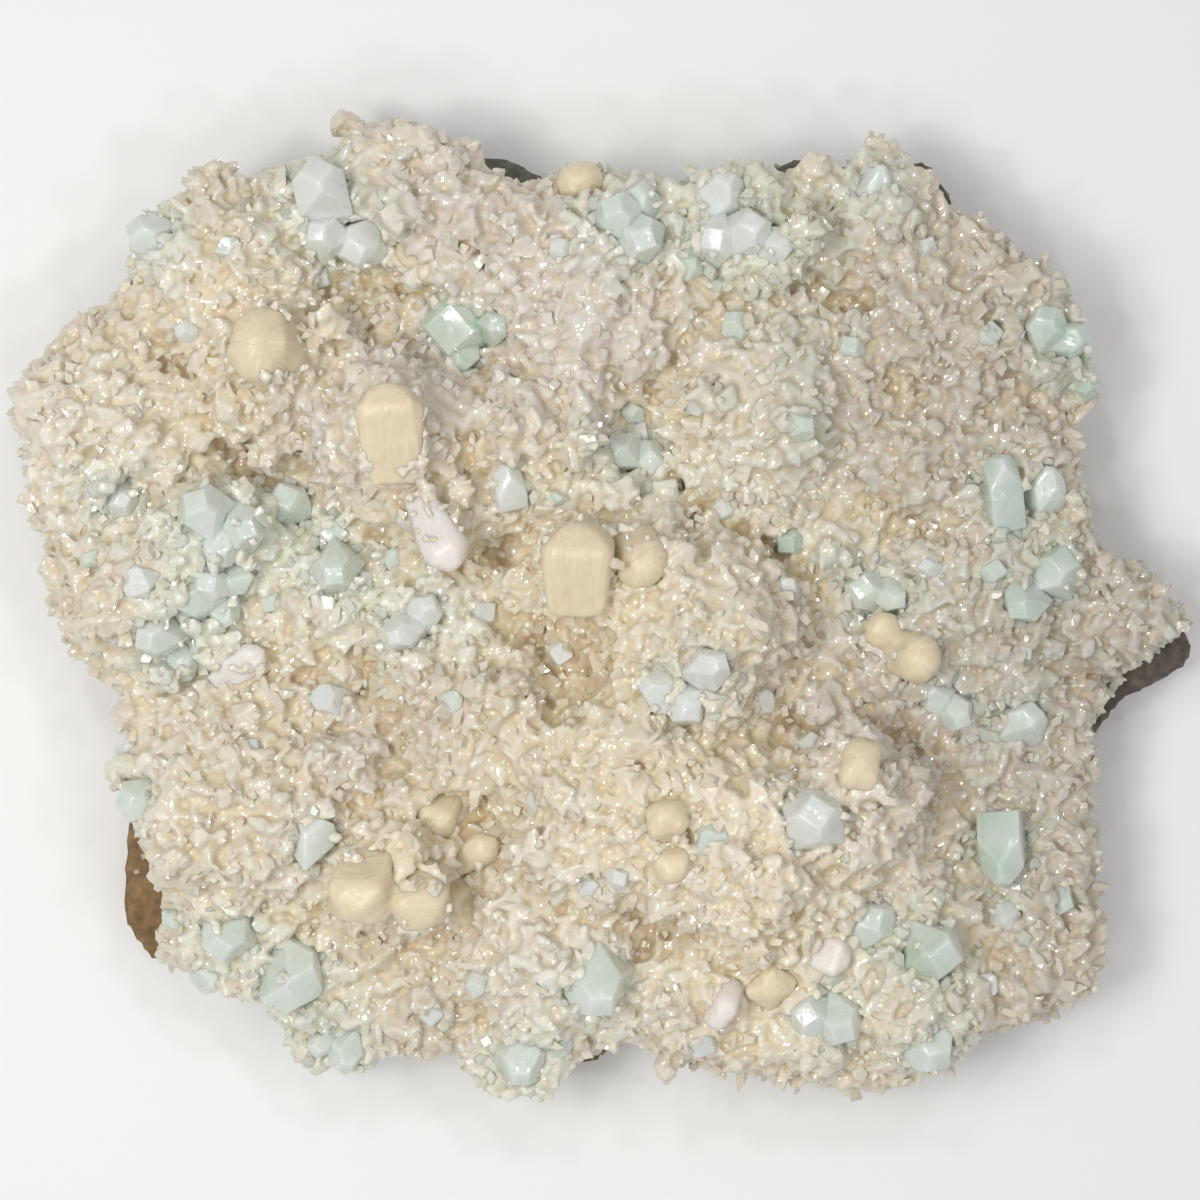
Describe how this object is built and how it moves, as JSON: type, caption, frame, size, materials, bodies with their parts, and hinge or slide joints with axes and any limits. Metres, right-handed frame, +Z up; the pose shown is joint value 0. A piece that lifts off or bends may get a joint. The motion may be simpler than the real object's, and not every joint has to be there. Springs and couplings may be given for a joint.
{
  "type": "apophyllite cluster",
  "caption": "Flat-backed plate of basalt under a carpet of cream stilbite, with larger pale green apophyllite and peach stilbite crystals grown on it.",
  "frame": {"origin": "centre of the bounding box's bottom, on the flat back of the rock that the specimen lies on", "axes": "+Z up, away from the flat back; +X along the longest side, towards the lobe at one end; +Y across the plate"},
  "size_m": [0.3942, 0.3263, 0.096],
  "materials": {
    "basalt": "rough broken rock",
    "stilbite": "translucent, pearly to glassy crystals",
    "apophyllite": "clear to milky, glassy faces"
  },
  "bodies": {
    "root": {"apophyllite_01": "apophyllite", "apophyllite_02": "apophyllite", "apophyllite_03": "apophyllite", "apophyllite_04": "apophyllite", "apophyllite_05": "apophyllite", "apophyllite_06": "apophyllite", "apophyllite_07": "apophyllite", "apophyllite_08": "apophyllite", "apophyllite_09": "apophyllite", "apophyllite_10": "apophyllite", "apophyllite_11": "apophyllite", "apophyllite_12": "apophyllite", "apophyllite_13": "apophyllite", "apophyllite_14": "apophyllite", "apophyllite_15": "apophyllite", "apophyllite_16": "apophyllite", "apophyllite_17": "apophyllite", "apophyllite_18": "apophyllite", "apophyllite_19": "apophyllite", "apophyllite_20": "apophyllite", "apophyllite_21": "apophyllite", "apophyllite_22": "apophyllite", "apophyllite_23": "apophyllite", "apophyllite_24": "apophyllite", "apophyllite_25": "apophyllite", "apophyllite_26": "apophyllite", "apophyllite_27": "apophyllite", "apophyllite_28": "apophyllite", "apophyllite_29": "apophyllite", "apophyllite_30": "apophyllite", "apophyllite_31": "apophyllite", "apophyllite_32": "apophyllite", "apophyllite_33": "apophyllite", "apophyllite_34": "apophyllite", "apophyllite_35": "apophyllite", "apophyllite_36": "apophyllite", "apophyllite_37": "apophyllite", "basalt_matrix": "basalt", "stilbite_barrel": "stilbite", "stilbite_bow_tie": "stilbite", "stilbite_cube_group": "stilbite", "stilbite_diamond": "stilbite", "stilbite_dome_back": "stilbite", "stilbite_dome_centre": "stilbite", "stilbite_dome_left": "stilbite", "stilbite_dome_right": "stilbite", "stilbite_druse": "stilbite", "stilbite_fan": "stilbite", "stilbite_fibrous_blade": "stilbite", "stilbite_lens": "stilbite", "stilbite_long_blade": "stilbite", "stilbite_paddle": "stilbite", "stilbite_peach_block": "stilbite", "stilbite_silky_blade": "stilbite", "stilbite_step_block": "stilbite", "stilbite_top_block": "stilbite"}
  },
  "joints": []
}
